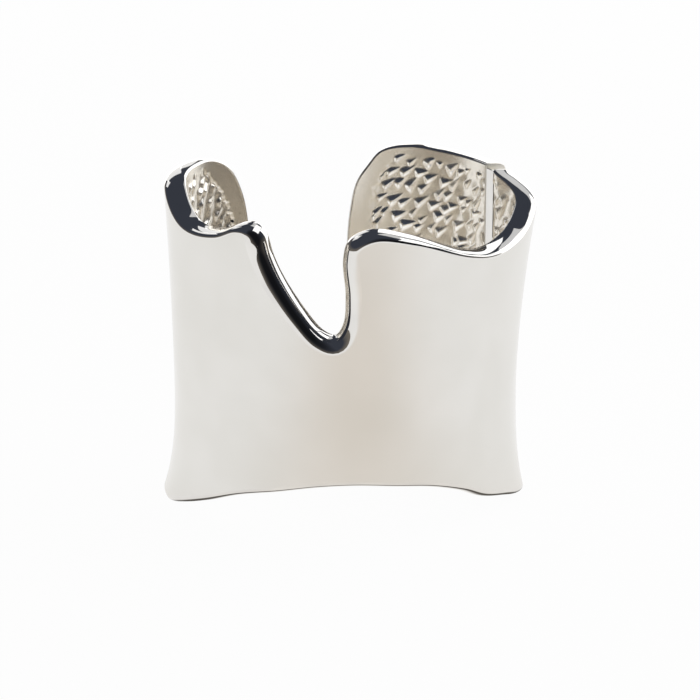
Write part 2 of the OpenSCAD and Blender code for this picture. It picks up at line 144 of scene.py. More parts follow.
def wallPoint(s, z, depth):  # a place on the wall, from distance along, height and depth, in metres
    s, z, depth = np.broadcast_arrays(np.asarray(s, float), np.asarray(z, float), np.asarray(depth, float))
    angle = angleAt(s)
    size = np.abs(angle)
    onEnds = (size <= frontAngle) | (size >= 180 - frontAngle)
    reach = np.where(onEnds, frontRadius, sideRadius) - depth + flareAt(angle, z)
    centreX = np.where(onEnds, 0, sideX)
    centreY = np.where(size <= frontAngle, frontRadius - halfDepth,
                       np.where(size >= 180 - frontAngle, halfDepth - frontRadius, 0))
    turn = np.radians(size)
    x = shiftX + np.where(s < 0, -1, 1) * (centreX + reach * np.sin(turn))
    y = shiftY + centreY - reach * np.cos(turn)
    return np.stack([x, y, z], axis=-1) * mm


def outline(points, steps=24):  # smooth curve through points of angle, height and rim height
    p = np.array([(alongOval(a), z, lip) for a, z, lip in points], float)
    p = np.vstack([2 * p[0] - p[1], p, 2 * p[-1] - p[-2]])

    def gap(a, b):
        return max(0.001, math.sqrt(math.hypot(b[0] - a[0], b[1] - a[1])))

    curve = []
    for i in range(1, len(p) - 2):
        p0, p1, p2, p3 = p[i - 1:i + 3]
        t1 = gap(p0, p1)
        t2 = t1 + gap(p1, p2)
        t3 = t2 + gap(p2, p3)
        for k in range(steps):
            t = t1 + (t2 - t1) * k / steps
            a1 = p0 + (p1 - p0) * t / t1
            a2 = p1 + (p2 - p1) * (t - t1) / (t2 - t1)
            a3 = p2 + (p3 - p2) * (t - t2) / (t3 - t2)
            b1 = a1 + (a2 - a1) * t / t2
            b2 = a2 + (a3 - a2) * (t - t1) / (t3 - t1)
            curve.append(b1 + (b2 - b1) * (t - t1) / (t2 - t1))
    curve.append(p[-2])
    return np.array(curve)


# hinge: where the walls stop on each side, in millimetres
hinge = {
    "angle": 109.0,
    "slot": 2.6,
    "plate": 0.7,
    "height": 57.0,
    "wingHeight": 57.4,
    "foot": 0.9,
    "wingLift": 0.3,
    "tubeDiameter": 2.0,
}
hingeS = float(alongOval(hinge["angle"]))
bodyFaceS = hingeS - hinge["slot"] / 2
wingFaceS = hingeS + hinge["slot"] / 2
bodyStopS = bodyFaceS - hinge["plate"]
wingStopS = wingFaceS + hinge["plate"]
bodyStopA = float(angleAt(bodyStopS))
wingStopA = float(angleAt(wingStopS))

# free edges of the two panels: heights and roundings, and the angles of the ends and the notch
edges = {
    "lip": 1.3,
    "notchLip": 2.7,
    "leftEnd": -145.6,
    "wingEnd": 176.6,
    "notch": -6.4,
    "notchHeight": 36.3,
    "leftShoulder": 54.8,
    "rightShoulder": 54.7,
    "lobe": 57.9,
    "lobeRound": 18.3,
    "leftSide": 56.9,
    "leftFront": 52.4,
    "rightFront": 48.9,
    "rightSide": 54.5,
    "rightBack": 57.1,
    "arch": 9.8,
    "corner": 3.9,
    "endRound": 16.0,
    "crest": 57.4,
    "crestRound": 20.0,
    "wingFoot": 5.8,
    "wingFootRound": 11.2,
}


def bodyOutlines():
    lip, deep = edges["lip"], edges["notchLip"]
    end, notch, low = edges["leftEnd"], edges["notch"], edges["notchHeight"]
    lobe, lobeRound = edges["lobe"], edges["lobeRound"]
    leftFront, leftShoulder = edges["leftFront"], edges["leftShoulder"]
    rightFront, rightShoulder, rightSide = edges["rightFront"], edges["rightShoulder"], edges["rightSide"]
    left = leftShoulder - low
    right = rightShoulder - low
    top = outline([
        (end, lobe - lobeRound, lip),
        (end + 0.6, lobe - 0.67 * lobeRound, lip),
        (end + 2.6, lobe - 0.42 * lobeRound, lip),
        (end + 7.5, lobe - 0.17 * lobeRound, lip),
        (end + 16, lobe - 0.03 * lobeRound, lip),
        (end + 30, lobe, lip),
        (-90, edges["leftSide"], lip),
        (-60, leftFront, lip),
        (notch - 39.6, mix(leftFront, leftShoulder, 0.17), lip),
        (notch - 31.4, mix(leftFront, leftShoulder, 0.92), lip),
        (notch - 26.5, leftShoulder, mix(lip, deep, 0.4)),
        (notch - 23.2, low + 0.91 * left, deep),
        (notch - 21.1, low + 0.73 * left, deep),
        (notch - 17.8, low + 0.54 * left, deep),
        (notch - 10.2, low + 0.23 * left, deep),
        (notch - 4.1, low + 0.04 * left, deep),
        (notch, low, deep),
        (notch + 2.5, low + 0.11 * right, deep),
        (notch + 3.2, low + 0.38 * right, deep),
        (notch + 2.4, low + 0.72 * right, deep),
        (notch + 4.2, low + 0.9 * right, mix(lip, deep, 0.6)),
        (notch + 11.4, rightShoulder, mix(lip, deep, 0.2)),
        (notch + 24.4, mix(rightFront, rightShoulder, 0.78), lip),
        (36, mix(rightFront, rightShoulder, 0.16), lip),
        (46, rightFront, lip),
        (60, mix(rightFront, rightSide, 0.2), lip),
        (72, mix(rightFront, rightSide, 0.58), lip),
        (84, rightSide, lip),
        (95, mix(rightSide, edges["rightBack"], 0.62), lip),
        (bodyStopA, hinge["height"], lip),
    ])
    arch, corner, endRound = edges["arch"], edges["corner"], edges["endRound"]
    foot = outline([
        (end, endRound, lip),
        (end + 0.8, 0.66 * endRound, lip),
        (end + 4, 0.36 * endRound, lip),
        (end + 11, 0.19 * endRound, lip),
        (-124, 0.06 * endRound, lip),
        (-112, 0, lip),
        (-101, 0, lip),
        (-88, 0, lip),
        (-77, 0, lip),
        (-66, 0.11 * arch, lip),
        (-52, 0.36 * arch, lip),
        (-38, 0.65 * arch, lip),
        (-25, 0.82 * arch, lip),
        (-12, 0.96 * arch, lip),
        (0, arch, lip),
        (13, 0.94 * arch, lip),
        (25, 0.84 * arch, lip),
        (37, 0.63 * arch, lip),
        (46, corner, lip),
        (58, 0.5 * corner, lip),
        (68, 0.16 * corner, lip),
        (77, 0, lip),
        (84, 0, lip),
        (90, 0, lip),
        (96, 0, lip),
        (99, 0.3 * hinge["foot"], lip),
        (bodyStopA, hinge["foot"], lip),
    ])
    foot[:, 1] = np.maximum(0, foot[:, 1])
    return top, foot


def wingOutlines():
    lip, end, start = edges["lip"], edges["wingEnd"], wingStopA
    crest, crestRound = edges["crest"], edges["crestRound"]
    footHeight, footRound = edges["wingFoot"], edges["wingFootRound"]
    first, foot0 = hinge["wingHeight"], hinge["foot"]
    top = outline([
        (start, first, lip),
        (mix(start, end, 0.16), mix(first, crest, 0.45), lip),
        (mix(start, end, 0.41), mix(first, crest, 0.75), lip),
        (mix(start, end, 0.62), crest, lip),
        (end - 12.5, crest - 0.07 * crestRound, lip),
        (end - 7.7, crest - 0.21 * crestRound, lip),
        (end - 3.5, crest - 0.38 * crestRound, lip),
        (end - 1, crest - 0.68 * crestRound, lip),
        (end, crest - crestRound, lip),
    ])
    foot = outline([
        (start, foot0 + hinge["wingLift"], lip),
        (mix(start, end, 0.16), mix(foot0, footHeight, 0.25), lip),
        (mix(start, end, 0.41), mix(foot0, footHeight, 0.55), lip),
        (mix(start, end, 0.62), mix(foot0, footHeight, 0.8), lip),
        (end - 10.5, footHeight, lip),
        (end - 5, footHeight + 0.16 * footRound, lip),
        (end - 1.4, footHeight + 0.48 * footRound, lip),
        (end, footHeight + footRound, lip),
    ])
    return top, foot


rimShape = {
    "section": 28,  # steps round the section
    "outerShare": 0.79,  # share of them on the wide outer rounding
    "corner": 0.4,  # rounding inside
    "boxiness": 2.4,  # 2 is an oval, more is squarer
    "notchBoxiness": 2.0,
    "step": 0.36,
    "endSteps": 40,  # along a straight free end
    "upright": 2,  # stretch beside the hinge where the section turns upright
}


def rimSection(k, lip):  # inset from the edge and depth below the outer face, for 0 to 1 round the section
    outer = np.minimum(1, k / rimShape["outerShare"]) * np.pi / 2
    inner = np.maximum(0, k - rimShape["outerShare"]) / (1 - rimShape["outerShare"]) * np.pi / 2
    corner = rimShape["corner"]
    inNotch = np.clip((lip - edges["lip"]) / (edges["notchLip"] - edges["lip"]), 0, 1)
    power = 2 / mix(rimShape["boxiness"], rimShape["notchBoxiness"], inNotch)
    inset = lip * (1 - np.sin(outer) ** power) + corner * (1 - np.cos(inner))
    depth = (cuff["wall"] - corner) * (1 - np.maximum(0, np.cos(outer)) ** power) + corner * np.sin(inner)
    return inset, depth


# a walk round a panel's free edges, the way into the panel there, and the edges of its sheets
def panelEdges(first, last, firstZ):
    straight = np.linspace(first[-1], last[0], rimShape["endSteps"])[1:-1]
    path = np.vstack([first, straight, last])
    far = np.concatenate([[0], np.cumsum(np.hypot(*np.diff(path[:, :2], axis=0).T))])
    at = np.linspace(0, far[-1], int(far[-1] / rimShape["step"]))
    walk = np.stack([np.interp(at, far, path[:, k]) for k in range(3)], axis=1)
    along = np.gradient(walk[:, :2], axis=0)
    for _ in range(4):  # evens out the turns
        along[1:-1] = (along[:-2] + 2 * along[1:-1] + along[2:]) / 4
    into = np.stack([along[:, 1], -along[:, 0]], axis=1)
    into /= np.linalg.norm(into, axis=1)[:, None]
    for distance, z in ((at, firstZ), (far[-1] - at, -firstZ)):
        k = smoothStep(distance / rimShape["upright"])[:, None]
        into = into * k + np.array([0, z]) * (1 - k)
        into /= np.linalg.norm(into, axis=1)[:, None]
    firstAt, lastAt = far[:len(first)], far[-len(last):]
    sheetEdges = []
    # the outer sheet meets the rim lower down than the inner one
    for inset in (walk[:, 2:3], rimShape["corner"]):
        inner = walk[:, :2] + into * inset
        for d in (firstAt, lastAt):
            sheetEdges.append(np.stack([np.interp(d, at, inner[:, k]) for k in range(2)], axis=1))
    return walk, into, sheetEdges


bodyTop, bodyFoot = bodyOutlines()
wingTop, wingFoot = wingOutlines()
print("outlines drawn")


def pick(*pieces):  # selects these alone, the first one active
    bpy.ops.object.select_all(action="DESELECT")
    for piece in pieces:
        piece.select_set(True)
    bpy.context.view_layer.objects.active = pieces[0]


def finishPiece(piece, smoothAngle):
    pick(piece)
    bpy.ops.object.shade_smooth_by_angle(angle=math.radians(smoothAngle))
    return piece


def layGrid(name, columns, rows, place):  # a grid laid on the wall; place gets 0 to 1 along and up
    bpy.ops.object.select_all(action="DESELECT")
    bpy.ops.mesh.primitive_grid_add(x_subdivisions=columns, y_subdivisions=rows, size=1)
    piece = bpy.context.object
    piece.name = piece.data.name = name
    flat = np.empty(len(piece.data.vertices) * 3, np.float32)
    piece.data.vertices.foreach_get("co", flat)
    flat = flat.reshape(-1, 3)
    points = place(flat[:, 0] + 0.5, flat[:, 1] + 0.5)
    piece.data.vertices.foreach_set("co", points.astype(np.float32).ravel())
    piece.data.update()
    return piece


def columnsOf(low, high, count):  # pairs of points on the two edges, spread by their mean step
    step = (np.hypot(*np.diff(low, axis=0).T) + np.hypot(*np.diff(high, axis=0).T)) / 2
    far = np.concatenate([[0], np.cumsum(step)])
    at = np.linspace(0, far[-1], count)
    return [np.stack([np.interp(at, far, e[:, k]) for k in range(2)], axis=1) for e in (low, high)]


def makeSheet(name, low, high, faceDepth, backDepth, columns, rows, end=None, freeColumn=0):
    low, high = columnsOf(low, high, columns + 1)
    inward = faceDepth > backDepth
    backRows = 4
    marks = []

    def at(u, v, depth, end=None):
        u = 1 - u if (depth == faceDepth) == inward else u  # the face turns towards the wrist on a liner
        i = np.rint(u * columns).astype(int)
        p = low[i] + (high[i] - low[i]) * v[:, None]
        rise = 0
        if end:
            room = np.minimum(v, 1 - v) * np.linalg.norm(high[i] - low[i], axis=1)
            freeEnd = np.abs(p[:, 0] - np.mean([low[freeColumn, 0], high[freeColumn, 0]]))
            rise = hammerMarks(p[:, 0], p[:, 1], room, freeEnd, end)
            marks.append(rise)
        return wallPoint(p[:, 0], p[:, 1], depth + rise)

    face = layGrid(name, columns, rows, lambda u, v: at(u, v, faceDepth, end))
    if marks:  # height of the marks, for the material
        relief = face.data.attributes.new("relief", "FLOAT", "POINT")
        relief.data.foreach_set("value", marks[0].astype(np.float32))
    back = layGrid(name + "Back", columns, backRows, lambda u, v: at(u, v, backDepth))
    pick(face, back)
    bpy.ops.object.join()
    # the border between the two faces is closed by their known order
    mesh = bmesh.new()
    mesh.from_mesh(face.data)
    mesh.verts.ensure_lookup_table()
    wide = columns + 1
    first = wide * (rows + 1)
    for row, backRow in ((0, 0), (rows, backRows)):
        for i in range(columns):
            a, b = row * wide + i, row * wide + i + 1
            c, d = first + backRow * wide + columns - i, first + backRow * wide + columns - i - 1
            quad = [mesh.verts[k] for k in (a, b, d, c)]
            mesh.faces.new(quad if row else quad[::-1])
    for i in (0, columns):
        front = [mesh.verts[row * wide + i] for row in range(rows + 1)]
        rear = [mesh.verts[first + row * wide + columns - i] for row in range(backRows + 1)]
        loop = front + rear[::-1]
        mesh.faces.new(loop[::-1] if i else loop)
    bmesh.ops.recalc_face_normals(mesh, faces=mesh.faces)
    mesh.to_mesh(face.data)
    mesh.free()
    return face


def makeRim(name, walk, into):  # the section swept along the free edges, flat on its hidden side
    count = len(walk)
    turns = rimShape["section"]

    def at(u, v):
        i = np.rint(u * (count - 1)).astype(int)
        inset, depth = rimSection(np.rint(v * turns) / turns, walk[i, 2])
        p = walk[i, :2] + into[i] * inset[:, None]
        return wallPoint(p[:, 0], p[:, 1], depth)

    rim = layGrid(name, count - 1, turns, at)
    mesh = bmesh.new()
    mesh.from_mesh(rim.data)
    mesh.verts.ensure_lookup_table()
    for i in range(count - 1):  # the hidden flat side
        mesh.faces.new([mesh.verts[k] for k in (turns * count + i, turns * count + i + 1, i + 1, i)])
    for i in (0, count - 1):  # the two ends at the hinge
        mesh.faces.new([mesh.verts[row * count + i] for row in range(turns + 1)])
    bmesh.ops.recalc_face_normals(mesh, faces=mesh.faces)
    mesh.to_mesh(rim.data)
    mesh.free()
    return rim


# hammered inside: blunt three-sided peaks stand on a floor set a little below the smooth border
hammer = {
    "spacing": 2.85,  # between peaks
    "jitter": 0.28,  # share of the spacing
    "height": 0.48,
    "sizeSpread": 0.28,
    "sides": ((106, 0.95), (208, 1.0), (316, 0.66)),  # way each side faces, seen from inside, and its reach
    "swing": 18,  # degrees by which a peak may be turned
    "softness": 0.18,  # rounding of the ridges between the sides
    "floorWave": 0.03,
    "border": 1.15,  # smooth margin below the rim
    "borderFade": 0.9,
    "step": 0.05,  # drop from the border to the hammered floor
    "seed": 5,
}
# smooth margin beside a free end: its width, the height from which it widens and how fast,
# the depth of the line scored along it and the step down from it
lobeEnd = {"width": 3.7, "widensFrom": 42.5, "widening": 0.045, "score": 0.35, "step": 0.3}
wingEnd = {"width": 4.65, "widensFrom": 45.0, "widening": 0.05, "score": 0.05, "step": 0.05}
marginEdge = {"stepWidth": 0.25, "stepReach": 6, "scoreWidth": 0.24, "scoreBorder": 1.0, "scoreFade": 0.6}


def hammerPeaks(s, z):  # blunt peaks in shifted rows, each moved, turned and sized by chance
    spacing, softness = hammer["spacing"], hammer["softness"]
    rowHeight = spacing * math.sqrt(3) / 2
    rowsUp, rowsDown, columns, columnsLeft = 40, 8, 140, 70
    dice = np.random.default_rng(hammer["seed"]).uniform(-1, 1, (rowsUp, columns, 4))
    nearRow = np.floor(z / rowHeight).astype(int)
    peaks = np.zeros(s.shape)
    for rowStep in (-1, 0, 1, 2):
        row = nearRow + rowStep
        start = (row % 2) * spacing / 2
        nearColumn = np.floor((s - start) / spacing).astype(int)
        for columnStep in (-1, 0, 1, 2):
            column = nearColumn + columnStep
            roll = dice[(row + rowsDown) % rowsUp, (column + columnsLeft) % columns]
            peakS = start + column * spacing + roll[..., 0] * hammer["jitter"] * spacing
            peakZ = row * rowHeight + roll[..., 1] * hammer["jitter"] * spacing
            across, up = peakS - s, z - peakZ  # seen from inside, so turned left to right
            size = 1 + hammer["sizeSpread"] * roll[..., 2]
            turn = np.radians(hammer["swing"]) * roll[..., 3]
            sides = 0
            for facing, reach in hammer["sides"]:
                way = math.radians(facing) + turn
                far = (across * np.cos(way) + up * np.sin(way)) / (reach * size)
                sides = sides + np.exp(np.clip(far, -3, 3) / softness)
            near = np.clip(1 - softness * np.log(sides), 0, 1)
            blunt = near * (0.45 + near * (1.2 - 0.65 * near))  # blunt top, soft foot
            peaks = np.maximum(peaks, blunt * size)
    return peaks


def hammerMarks(s, z, room, freeEnd, end):  # height of the marks over the smooth border
    floor = hammer["floorWave"] * (np.sin(s * 1.7 + z * 0.6) + np.sin(z * 1.9 - s * 0.5))
    wobble = 0.3 * np.sin(z * 2.1 + 1.3 * np.sin(s)) + 0.2 * np.sin(z * 5.3 + s)
    margin = end["width"] + end["widening"] * np.maximum(0, z - end["widensFrom"]) ** 2
    inside = freeEnd - margin + wobble
    belowRim = smoothStep((room - hammer["border"] + wobble) / hammer["borderFade"])
    fromEnd = smoothStep(inside / marginEdge["stepWidth"])
    drop = mix(end["step"], hammer["step"], smoothStep(inside / marginEdge["stepReach"]))
    score = end["score"] * np.exp(-((inside / marginEdge["scoreWidth"]) ** 2))
    score = score * smoothStep((room - marginEdge["scoreBorder"]) / marginEdge["scoreFade"])
    return belowRim * fromEnd * (hammer["height"] * hammerPeaks(s, z) + floor - drop) - score


bodyWalk, bodyInto, bodyEdges = panelEdges(bodyFoot[::-1], bodyTop, 1)
wingWalk, wingInto, wingEdges = panelEdges(wingTop, wingFoot[::-1], -1)
bodyRim = makeRim("bodyRim", bodyWalk, bodyInto)
wingRim = makeRim("wingRim", wingWalk, wingInto)
print("rims swept")


def matched(low, high, count=700):  # the two edges at the same share of their listed points
    k = np.linspace(0, 1, count)
    return [
        np.stack([np.interp(k, np.linspace(0, 1, len(e)), e[:, c]) for c in range(2)], axis=1)
        for e in (low, high)
    ]


bodyPair = matched(bodyEdges[0][::-1], bodyEdges[1])
bodyInnerPair = matched(bodyEdges[2][::-1], bodyEdges[3])
wingPair = matched(wingEdges[1][::-1], wingEdges[0])
wingInnerPair = matched(wingEdges[3][::-1], wingEdges[2])
sheets = {
    "bodyColumns": 440,
    "bodyRows": 60,
    "bodyHammerColumns": 540,
    "bodyHammerRows": 164,
    "wingColumns": 110,
    "wingRows": 60,
    "wingHammerColumns": 240,
    "wingHammerRows": 340,
}
innerFace = cuff["wall"] - cuff["linerRecess"]
bodyShell = makeSheet("bodyShell", *bodyPair, 0, cuff["sheet"], sheets["bodyColumns"], sheets["bodyRows"])
wingShell = makeSheet("wingShell", *wingPair, 0, cuff["sheet"], sheets["wingColumns"], sheets["wingRows"])
bodyLiner = makeSheet("bodyLiner", *bodyInnerPair, innerFace, innerFace - cuff["sheet"],
                      sheets["bodyHammerColumns"], sheets["bodyHammerRows"], lobeEnd, 0)
wingLiner = makeSheet("wingLiner", *wingInnerPair, innerFace, innerFace - cuff["sheet"],
                      sheets["wingHammerColumns"], sheets["wingHammerRows"], wingEnd, -1)
print("sheets laid")

for piece in (bodyRim, wingRim, bodyShell, wingShell, bodyLiner, wingLiner):
    finishPiece(piece, 50)


def applyModifier(piece, kind, settings):
    pick(piece)
    modifier = piece.modifiers.new("shape", kind)
    for key, value in settings.items():
        setattr(modifier, key, value)
    bpy.ops.object.modifier_apply(modifier=modifier.name)


def weld(piece, close=False):  # merges doubled points, closes open ends and turns the faces outward
    pick(piece)
    bpy.ops.object.mode_set(mode="EDIT")
    bpy.ops.mesh.select_all(action="SELECT")
    bpy.ops.mesh.remove_doubles(threshold=1e-7)
    if close:
        bpy.ops.mesh.select_all(action="SELECT")
        bpy.ops.mesh.fill_holes(sides=0)
        bpy.ops.mesh.select_all(action="SELECT")
    bpy.ops.mesh.normals_make_consistent(inside=False)
    bpy.ops.object.mode_set(mode="OBJECT")


# end plates beside the hinge slot, in the shape of the wall's section, edges softened
plates = {"bevel": 0.09, "steps": 20, "bodyCut": 0.5}


def makePlate(name, fromS, toS, low, high, cut=0):
    k = np.linspace(0, 1, plates["steps"] + 1)
    inset, depth = rimSection(k, edges["lip"])
    z = np.concatenate([low + inset, (high - inset)[::-1]])
    depth = np.concatenate([depth, depth[::-1]])
    depth = np.minimum(depth, cuff["wall"] - cut)  # cut back under the cover strip
    count = len(z)

    def at(u, v):
        i = np.rint(u * count).astype(int) % count
        return wallPoint(np.where(v < 0.5, fromS, toS), z[i], depth[i])

    plate = layGrid(name, count, 1, at)
    weld(plate, close=True)
    applyModifier(plate, "BEVEL", {"width": plates["bevel"] * mm, "segments": 3, "limit_method": "ANGLE",
                                   "angle_limit": math.radians(60)})
    return finishPiece(plate, 20)


bodyPlate = makePlate("bodyPlate", bodyStopS, bodyFaceS, hinge["foot"], hinge["height"], plates["bodyCut"])
wingPlate = makePlate("wingPlate", wingFaceS, wingStopS, hinge["foot"] + hinge["wingLift"],
                      hinge["wingHeight"])

# tubes, pin and cap: copies of the solids with their edges broken
fittings = {"edge": 0.05}
fittingPieces = {}
for name in ("body_knuckle_bottom", "body_knuckle_top", "wing_knuckle_lower", "wing_knuckle_upper",
             "hinge_pin", "pin_cap"):
    pick(frame["nodes"][name])
    bpy.ops.object.duplicate()
    piece = bpy.context.object
    bpy.ops.object.parent_clear(type="CLEAR_KEEP_TRANSFORM")
    first, *rest = name.split("_")
    piece.name = piece.data.name = first + "".join(word.capitalize() for word in rest) + "Smooth"
    weld(piece)
    applyModifier(piece, "BEVEL", {"width": fittings["edge"] * mm, "segments": 2, "limit_method": "ANGLE",
                                   "angle_limit": math.radians(45), "use_clamp_overlap": True})
    fittingPieces[name] = finishPiece(piece, 35)

# cover strip: a flat bar over the slot, laps the body's plate and leans in towards the wrist
strip = {
    "fromX": -1.52,  # along the wall, from the hinge's axis
    "toX": 0.7,
    "faceY": 1.86,  # towards the wrist
    "thickness": 0.36,
    "low": 1.8,
    "high": 56.8,
    "lean": 7,
    "edge": 0.05,
}
axisX, axisY, _ = wallPoint(hingeS, 0, cuff["wall"] / 2)
turn = math.radians(hinge["angle"])
cornerX = axisX + (strip["fromX"] * math.cos(turn) - strip["faceY"] * math.sin(turn)) * mm
cornerY = axisY + (strip["fromX"] * math.sin(turn) + strip["faceY"] * math.cos(turn)) * mm
turn += math.radians(strip["lean"])
along, across = (strip["toX"] - strip["fromX"]) * mm, strip["thickness"] * mm
bpy.ops.object.select_all(action="DESELECT")
bpy.ops.mesh.primitive_cube_add(
    size=1, rotation=(0, 0, turn), scale=(along, across, (strip["high"] - strip["low"]) * mm),
    location=(cornerX + (along * math.cos(turn) + across * math.sin(turn)) / 2,
              cornerY + (along * math.sin(turn) - across * math.cos(turn)) / 2,
              (strip["high"] + strip["low"]) / 2 * mm))
coverStrip = bpy.context.object
coverStrip.name = coverStrip.data.name = "coverStrip"
bpy.ops.object.transform_apply(location=True, rotation=True, scale=True)
applyModifier(coverStrip, "BEVEL", {"width": strip["edge"] * mm, "segments": 2})
finishPiece(coverStrip, 20)

# closing spring: round wire along a coil with a straight leg at each end
spring = {
    "bottom": 25.0,
    "room": 8.0,
    "play": 0.4,
    "wire": 0.34,
    "turns": 5,
    "snug": 0.99,  # share of the tubes' size
    "bodyLeg": 1.05,
    "wingLeg": 0.53,
    "stepsPerTurn": 28,
    "sides": 10,
}


def makeSpring(name):
    wireRadius = spring["wire"] / 2
    radius = spring["snug"] * (hinge["tubeDiameter"] - spring["wire"]) / 2
    low = spring["bottom"] + spring["play"] + wireRadius
    rise = spring["room"] - 2 * spring["play"] - spring["wire"]
    count = spring["turns"] * spring["stepsPerTurn"]
    step = np.arange(count + 1)
    a = np.radians(-90 + 360 * step / spring["stepsPerTurn"])
    path = np.stack([radius * np.cos(a), radius * np.sin(a), low + rise * step / count], axis=1)
    path = np.vstack([[-spring["bodyLeg"], -radius, low], path, [spring["wingLeg"], -radius, low + rise]])
    along = np.gradient(path, axis=0)
    out = np.stack([along[:, 1], -along[:, 0], np.zeros(len(path))], axis=1)  # level and square to the wire
    out /= np.linalg.norm(out, axis=1)[:, None]
    up = np.cross(out, along)
    up /= np.linalg.norm(up, axis=1)[:, None]
    turn = math.radians(hinge["angle"])
    axis = wallPoint(hingeS, cuff["waist"], cuff["wall"] / 2)

    def at(u, v):
        i = np.rint(u * (len(path) - 1)).astype(int)
        t = 2 * np.pi * v
        p = path[i] + wireRadius * (out[i] * np.cos(t)[:, None] + up[i] * np.sin(t)[:, None])
        x = p[:, 0] * math.cos(turn) - p[:, 1] * math.sin(turn)
        y = p[:, 0] * math.sin(turn) + p[:, 1] * math.cos(turn)
        return np.stack([axis[0] + x * mm, axis[1] + y * mm, p[:, 2] * mm], axis=1)

    wire = layGrid(name, len(path) - 1, spring["sides"], at)
    weld(wire, close=True)
    return finishPiece(wire, 50)


closingSpring = makeSpring("closingSpring")
print("hinge finished")


def linear(hexColour):
    parts = [int(hexColour[i:i + 2], 16) / 255 for i in (1, 3, 5)]
    return tuple(c / 12.92 if c <= 0.04045 else ((c + 0.055) / 1.055) ** 2.4 for c in parts) + (1,)


def startMaterial(name):
    material = bpy.data.materials.new(name)
    material.use_nodes = True
    material.node_tree.nodes.clear()
    return material, material.node_tree


def addNode(tree, kind, settings=None, inputs=None, links=None):
    node = tree.nodes.new(kind)
    for key, value in (settings or {}).items():
        setattr(node, key, value)
    for key, value in (inputs or {}).items():
        node.inputs[key].default_value = value
    for key, socket in (links or {}).items():
        tree.links.new(socket, node.inputs[key])
    return node


def patterned(tree, size, stretch=(1, 1, 1), detail=2.0, roughness=0.5):  # noise with marks of a size in mm
    place = addNode(tree, "ShaderNodeTexCoord")
    scaled = addNode(tree, "ShaderNodeVectorMath", {"operation": "MULTIPLY"},
                     {1: tuple(k / (size * mm) for k in stretch)}, {0: place.outputs["Object"]})
    noise = addNode(tree, "ShaderNodeTexNoise",
                    inputs={"Scale": 1.0, "Detail": detail, "Roughness": roughness},
                    links={"Vector": scaled.outputs[0]})
    return noise.outputs["Fac"]


def ranged(tree, value, low, high, fromLow=0.3, fromHigh=0.7):
    limits = {"From Min": fromLow, "From Max": fromHigh, "To Min": low, "To Max": high}
    return addNode(tree, "ShaderNodeMapRange", inputs=limits, links={"Value": value}).outputs[0]


def blended(tree, factor, first, second):
    colours = {6: linear(first), 7: linear(second)}
    return addNode(tree, "ShaderNodeMix", {"data_type": "RGBA"}, colours, {0: factor}).outputs[2]


def metal(tree, colour, roughness, bumps, metallic=1.0):  # bumps: pattern and height in mm
    normal = None
    for pattern, height in bumps:
        links = {"Height": pattern}
        if normal:
            links["Normal"] = normal
        bump = addNode(tree, "ShaderNodeBump", inputs={"Strength": 1.0, "Distance": height * mm}, links=links)
        normal = bump.outputs[0]
    links = {"Base Color": colour, "Roughness": roughness}
    if normal:
        links["Normal"] = normal
    shader = addNode(tree, "ShaderNodeBsdfPrincipled", inputs={"Metallic": metallic}, links=links)
    addNode(tree, "ShaderNodeOutputMaterial", links={"Surface": shader.outputs[0]})


# outside of the wall: soft hand polish, faint haze, fine streaks along the wall, hardly any waviness
polishedSilver, tree = startMaterial("polishedSilver")
haze = patterned(tree, 14, detail=3)
streaks = patterned(tree, 0.5, (0.06, 0.06, 1.6), detail=4)
finish = addNode(tree, "ShaderNodeMath", {"operation": "ADD"},
                 links={0: ranged(tree, haze, 0.13, 0.17), 1: ranged(tree, streaks, 0.0, 0.035)}).outputs[0]
metal(tree, blended(tree, ranged(tree, haze, 0, 1), "#E6E4E0", "#E1DFDA"), finish,
      [(patterned(tree, 11, detail=1), 0.02)])

# rolled rim: a mirror with a little waviness from the hammer and hairline scratches
mirrorSilver, tree = startMaterial("mirrorSilver")
specks = patterned(tree, 0.35, detail=5, roughness=0.7)
metal(tree, blended(tree, ranged(tree, patterned(tree, 6), 0, 1), "#E7E5E1", "#DFDDDA"),
      ranged(tree, specks, 0.02, 0.07),
      [(patterned(tree, 3.2, detail=1), 0.012), (specks, 0.0006)])

# inside: bright hammered silver, a little duller and warmer in the floor than on the peaks
hammeredSilver, tree = startMaterial("hammeredSilver")
relief = addNode(tree, "ShaderNodeAttribute", {"attribute_name": "relief"}).outputs["Fac"]
grain = patterned(tree, 0.6, detail=4)
duller = ranged(tree, relief, 0.2, 0.13, 0.0, 0.2)
finish = addNode(tree, "ShaderNodeMath", {"operation": "ADD"},
                 links={0: duller, 1: ranged(tree, grain, 0.0, 0.04)}).outputs[0]
metal(tree, blended(tree, ranged(tree, relief, 0, 1, 0.0, 0.25), "#F3EEE5", "#FBF9F5"), finish,
      [(patterned(tree, 1.6, detail=2), 0.012)])

# hinge plates: left as they came from the pickle, a matt white skin with fine grain
pickledSilver, tree = startMaterial("pickledSilver")
grain = patterned(tree, 0.25, detail=4)
metal(tree, blended(tree, ranged(tree, patterned(tree, 2.5, detail=3), 0, 1), "#FAF7EF", "#F0EBE0"),
      ranged(tree, grain, 0.3, 0.42), [(grain, 0.004)], metallic=0.7)

# hinge tubes and pin: turned bright, with fine rings
turnedSilver, tree = startMaterial("turnedSilver")
rings = patterned(tree, 0.3, (0.05, 0.05, 1.5), detail=4)
metal(tree, blended(tree, ranged(tree, patterned(tree, 3, detail=3), 0, 1), "#EAE6DE", "#D9D4CA"),
      ranged(tree, rings, 0.12, 0.24), [(rings, 0.002)])

# spring wire: drawn steel, grey with fine lines
springSteel, tree = startMaterial("springSteel")
drawn = patterned(tree, 0.2, detail=4)
metal(tree, blended(tree, ranged(tree, drawn, 0, 1), "#97989B", "#7F8084"),
      ranged(tree, drawn, 0.2, 0.32), [(drawn, 0.002)])


